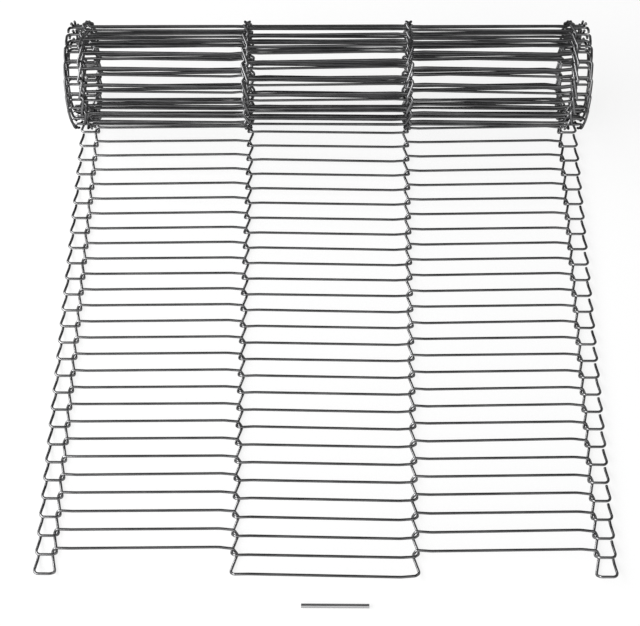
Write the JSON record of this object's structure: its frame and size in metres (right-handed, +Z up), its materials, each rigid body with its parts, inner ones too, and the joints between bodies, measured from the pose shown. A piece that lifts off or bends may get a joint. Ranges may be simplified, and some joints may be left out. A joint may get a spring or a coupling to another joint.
{
  "type": "oven conveyor belt",
  "caption": "Flat wire conveyor belt of hooked, formed stainless strands with edge loops, front lying flat and back wound into a roll, with a loose joining tube",
  "frame": {"origin": "on the floor, at the middle of the part's box: the belt's middle line across, and midway from the joining tube in front to the back of the roll", "axes": "+X across the belt, along every bar and hinge axis; -Y along the flat run towards its free front end, the roll at +Y; +Z up from the floor that the belt lies on"},
  "size_m": [0.3806, 0.428, 0.0842],
  "materials": {
    "strand_wire": "bright drawn stainless wire",
    "joining_tube": "bright drawn stainless tube with cut ends"
  },
  "bodies": {
    "roll": {"roll_strand_01": "strand_wire", "roll_strand_02": "strand_wire", "roll_strand_03": "strand_wire", "roll_strand_04": "strand_wire", "roll_strand_05": "strand_wire", "roll_strand_06": "strand_wire", "roll_strand_07": "strand_wire", "roll_strand_08": "strand_wire", "roll_strand_09": "strand_wire", "roll_strand_10": "strand_wire", "roll_strand_11": "strand_wire", "roll_strand_12": "strand_wire", "roll_strand_13": "strand_wire", "roll_strand_14": "strand_wire", "roll_strand_15": "strand_wire", "roll_strand_16": "strand_wire", "roll_strand_17": "strand_wire", "roll_strand_18": "strand_wire", "roll_strand_19": "strand_wire", "roll_strand_20": "strand_wire", "roll_turn_2": "strand_wire", "roll_turn_3": "strand_wire"},
    "strand_01": {"strand_01": "strand_wire"},
    "strand_02": {"strand_02": "strand_wire"},
    "strand_03": {"strand_03": "strand_wire"},
    "strand_04": {"strand_04": "strand_wire"},
    "strand_05": {"strand_05": "strand_wire"},
    "strand_06": {"strand_06": "strand_wire"},
    "strand_07": {"strand_07": "strand_wire"},
    "strand_08": {"strand_08": "strand_wire"},
    "strand_09": {"strand_09": "strand_wire"},
    "strand_10": {"strand_10": "strand_wire"},
    "strand_11": {"strand_11": "strand_wire"},
    "strand_12": {"strand_12": "strand_wire"},
    "strand_13": {"strand_13": "strand_wire"},
    "strand_14": {"strand_14": "strand_wire"},
    "strand_15": {"strand_15": "strand_wire"},
    "strand_16": {"strand_16": "strand_wire"},
    "strand_17": {"strand_17": "strand_wire"},
    "strand_18": {"strand_18": "strand_wire"},
    "strand_19": {"strand_19": "strand_wire"},
    "strand_20": {"strand_20": "strand_wire"},
    "strand_21": {"strand_21": "strand_wire"},
    "strand_22": {"strand_22": "strand_wire"},
    "strand_23": {"strand_23": "strand_wire"},
    "strand_24": {"strand_24": "strand_wire"},
    "strand_25": {"strand_25": "strand_wire"},
    "strand_26": {"strand_26": "strand_wire"},
    "strand_27": {"strand_27": "strand_wire"},
    "strand_28": {"strand_28": "strand_wire"},
    "joining_tube": {"joining_tube": "joining_tube"}
  },
  "joints": [
    {"name": "hinge_28", "type": "hinge", "parent": "roll", "child": "strand_28", "pos_m": [0, 0.16412, 0.0028], "axis": [1, 0, 0], "range_deg": [-18, 45]},
    {"name": "hinge_27", "type": "hinge", "parent": "strand_28", "child": "strand_27", "pos_m": [0, 0.15142, 0.0028], "axis": [-1, 0, 0], "range_deg": [-45, 28]},
    {"name": "hinge_26", "type": "hinge", "parent": "strand_27", "child": "strand_26", "pos_m": [0, 0.13872, 0.0028], "axis": [1, 0, 0], "range_deg": [-28, 45]},
    {"name": "hinge_25", "type": "hinge", "parent": "strand_26", "child": "strand_25", "pos_m": [0, 0.12602, 0.0028], "axis": [-1, 0, 0], "range_deg": [-45, 28]},
    {"name": "hinge_24", "type": "hinge", "parent": "strand_25", "child": "strand_24", "pos_m": [0, 0.11332, 0.0028], "axis": [1, 0, 0], "range_deg": [-28, 45]},
    {"name": "hinge_23", "type": "hinge", "parent": "strand_24", "child": "strand_23", "pos_m": [0, 0.10062, 0.0028], "axis": [-1, 0, 0], "range_deg": [-45, 28]},
    {"name": "hinge_22", "type": "hinge", "parent": "strand_23", "child": "strand_22", "pos_m": [0, 0.08792, 0.0028], "axis": [1, 0, 0], "range_deg": [-28, 45]},
    {"name": "hinge_21", "type": "hinge", "parent": "strand_22", "child": "strand_21", "pos_m": [0, 0.07522, 0.0028], "axis": [-1, 0, 0], "range_deg": [-45, 28]},
    {"name": "hinge_20", "type": "hinge", "parent": "strand_21", "child": "strand_20", "pos_m": [0, 0.06252, 0.0028], "axis": [1, 0, 0], "range_deg": [-28, 45]},
    {"name": "hinge_19", "type": "hinge", "parent": "strand_20", "child": "strand_19", "pos_m": [0, 0.04982, 0.0028], "axis": [-1, 0, 0], "range_deg": [-45, 28]},
    {"name": "hinge_18", "type": "hinge", "parent": "strand_19", "child": "strand_18", "pos_m": [0, 0.03712, 0.0028], "axis": [1, 0, 0], "range_deg": [-28, 45]},
    {"name": "hinge_17", "type": "hinge", "parent": "strand_18", "child": "strand_17", "pos_m": [0, 0.02442, 0.0028], "axis": [-1, 0, 0], "range_deg": [-45, 28]},
    {"name": "hinge_16", "type": "hinge", "parent": "strand_17", "child": "strand_16", "pos_m": [0, 0.01172, 0.0028], "axis": [1, 0, 0], "range_deg": [-28, 45]},
    {"name": "hinge_15", "type": "hinge", "parent": "strand_16", "child": "strand_15", "pos_m": [0, -0.00098, 0.0028], "axis": [-1, 0, 0], "range_deg": [-45, 28]},
    {"name": "hinge_14", "type": "hinge", "parent": "strand_15", "child": "strand_14", "pos_m": [0, -0.01368, 0.0028], "axis": [1, 0, 0], "range_deg": [-28, 45]},
    {"name": "hinge_13", "type": "hinge", "parent": "strand_14", "child": "strand_13", "pos_m": [0, -0.02638, 0.0028], "axis": [-1, 0, 0], "range_deg": [-45, 28]},
    {"name": "hinge_12", "type": "hinge", "parent": "strand_13", "child": "strand_12", "pos_m": [0, -0.03908, 0.0028], "axis": [1, 0, 0], "range_deg": [-28, 45]},
    {"name": "hinge_11", "type": "hinge", "parent": "strand_12", "child": "strand_11", "pos_m": [0, -0.05178, 0.0028], "axis": [-1, 0, 0], "range_deg": [-45, 28]},
    {"name": "hinge_10", "type": "hinge", "parent": "strand_11", "child": "strand_10", "pos_m": [0, -0.06448, 0.0028], "axis": [1, 0, 0], "range_deg": [-28, 45]},
    {"name": "hinge_09", "type": "hinge", "parent": "strand_10", "child": "strand_09", "pos_m": [0, -0.07718, 0.0028], "axis": [-1, 0, 0], "range_deg": [-45, 28]},
    {"name": "hinge_08", "type": "hinge", "parent": "strand_09", "child": "strand_08", "pos_m": [0, -0.08988, 0.0028], "axis": [1, 0, 0], "range_deg": [-28, 45]},
    {"name": "hinge_07", "type": "hinge", "parent": "strand_08", "child": "strand_07", "pos_m": [0, -0.10258, 0.0028], "axis": [-1, 0, 0], "range_deg": [-45, 28]},
    {"name": "hinge_06", "type": "hinge", "parent": "strand_07", "child": "strand_06", "pos_m": [0, -0.11528, 0.0028], "axis": [1, 0, 0], "range_deg": [-28, 45]},
    {"name": "hinge_05", "type": "hinge", "parent": "strand_06", "child": "strand_05", "pos_m": [0, -0.12798, 0.0028], "axis": [-1, 0, 0], "range_deg": [-45, 28]},
    {"name": "hinge_04", "type": "hinge", "parent": "strand_05", "child": "strand_04", "pos_m": [0, -0.14068, 0.0028], "axis": [1, 0, 0], "range_deg": [-28, 45]},
    {"name": "hinge_03", "type": "hinge", "parent": "strand_04", "child": "strand_03", "pos_m": [0, -0.15338, 0.0028], "axis": [-1, 0, 0], "range_deg": [-45, 28]},
    {"name": "hinge_02", "type": "hinge", "parent": "strand_03", "child": "strand_02", "pos_m": [0, -0.16608, 0.0028], "axis": [1, 0, 0], "range_deg": [-28, 45]},
    {"name": "hinge_01", "type": "hinge", "parent": "strand_02", "child": "strand_01", "pos_m": [0, -0.17878, 0.0028], "axis": [-1, 0, 0], "range_deg": [-45, 28]},
    {"name": "tube_lift", "type": "slide", "parent": "roll", "child": "joining_tube", "axis": [0, 0, 1], "range_m": [0, 0.12]}
  ]
}
